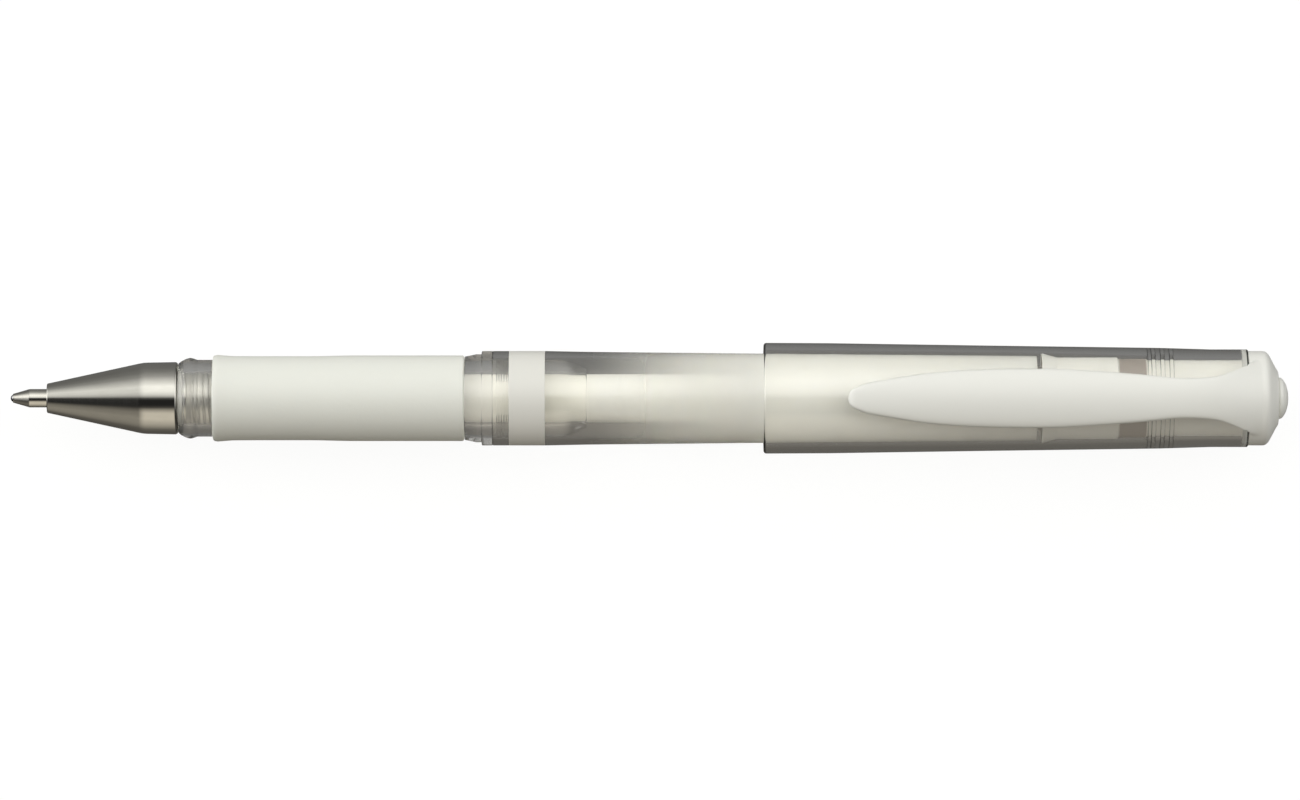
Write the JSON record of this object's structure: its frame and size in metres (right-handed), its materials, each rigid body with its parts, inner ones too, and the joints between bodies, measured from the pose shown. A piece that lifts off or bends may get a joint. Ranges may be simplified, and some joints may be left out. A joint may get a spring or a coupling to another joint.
{
  "type": "gel pen",
  "caption": "Capped gel pen with a screw-on metal nose cone, soft grip and clear barrel, shown with its clip cap posted on the rear end.",
  "frame": {"origin": "the writing ball's front, on the pen's axis", "axes": "+X from the writing tip to the crown along the pen's axis, +Z towards the clip"},
  "size_m": [0.1597, 0.0138, 0.0157],
  "materials": {
    "ball_carbide": "polished tungsten carbide",
    "point_steel": "bright turned steel",
    "white_moulding": "natural moulding",
    "ball_steel": "polished steel",
    "refill_tube": "translucent white tube",
    "ink": "white gel ink",
    "follower_grease": "clear grease",
    "nose_metal": "satin nickel plate",
    "seal_rubber": "soft light grey",
    "clear_section": "clear moulding",
    "grip_rubber": "soft satin white",
    "barrel_clear": "clear moulding that fades to a white coat",
    "band_white": "satin white",
    "tail_moulding": "grey white moulding",
    "cap_clear": "clear polished moulding",
    "liner_white": "translucent white",
    "pad_rubber": "soft white",
    "crown_white": "satin gloss white",
    "clip_white": "satin gloss white",
    "button_white": "satin gloss white"
  },
  "bodies": {
    "pen": {"point_socket": "point_steel", "point_holder": "white_moulding", "ink_tube": "refill_tube", "ink_charge": "ink", "gel_follower": "follower_grease", "front_section": "clear_section", "grip_sleeve": "grip_rubber", "barrel_tube": "barrel_clear", "barrel_band": "band_white", "tail_plug": "tail_moulding"},
    "writing_ball": {"tip_ball": "ball_carbide"},
    "valve_ball": {"check_ball": "ball_steel"},
    "seal": {"nose_seal": "seal_rubber"},
    "nose": {"nose_cone": "nose_metal"},
    "cap": {"cap_shell": "cap_clear", "inner_cap": "liner_white", "seal_pad": "pad_rubber", "crown": "crown_white", "end_plug": "button_white"},
    "clip": {"clip_arm": "clip_white"}
  },
  "joints": [
    {"name": "cap_pull", "type": "slide", "parent": "pen", "child": "cap", "axis": [1, 0, 0], "range_m": [0, 0.055]},
    {"name": "clip_flex", "type": "hinge", "parent": "cap", "child": "clip", "pos_m": [0.1468, 0, 0.0085], "axis": [0, 1, 0], "range_deg": [0, 4], "stiffness_Nm_per_rad": 1.5, "springref_deg": -1.15},
    {"name": "nose_advance", "type": "slide", "parent": "pen", "child": "seal", "axis": [-1, 0, 0], "range_m": [0, 0.00337]},
    {"name": "nose_turn", "type": "hinge", "parent": "seal", "child": "nose", "pos_m": [0.012, 0, 0], "axis": [-1, 0, 0], "range_deg": [0, 1620]},
    {"name": "ball_roll", "type": "hinge", "parent": "pen", "child": "writing_ball", "pos_m": [0.0005, 0, 0], "axis": [0, 1, 0], "continuous": true},
    {"name": "check_travel", "type": "slide", "parent": "pen", "child": "valve_ball", "axis": [1, 0, 0], "range_m": [0, 0.00035]}
  ],
  "couplings": [
    {"joint": "nose_turn", "follows": "nose_advance", "rad_per_m": 8377.6}
  ]
}
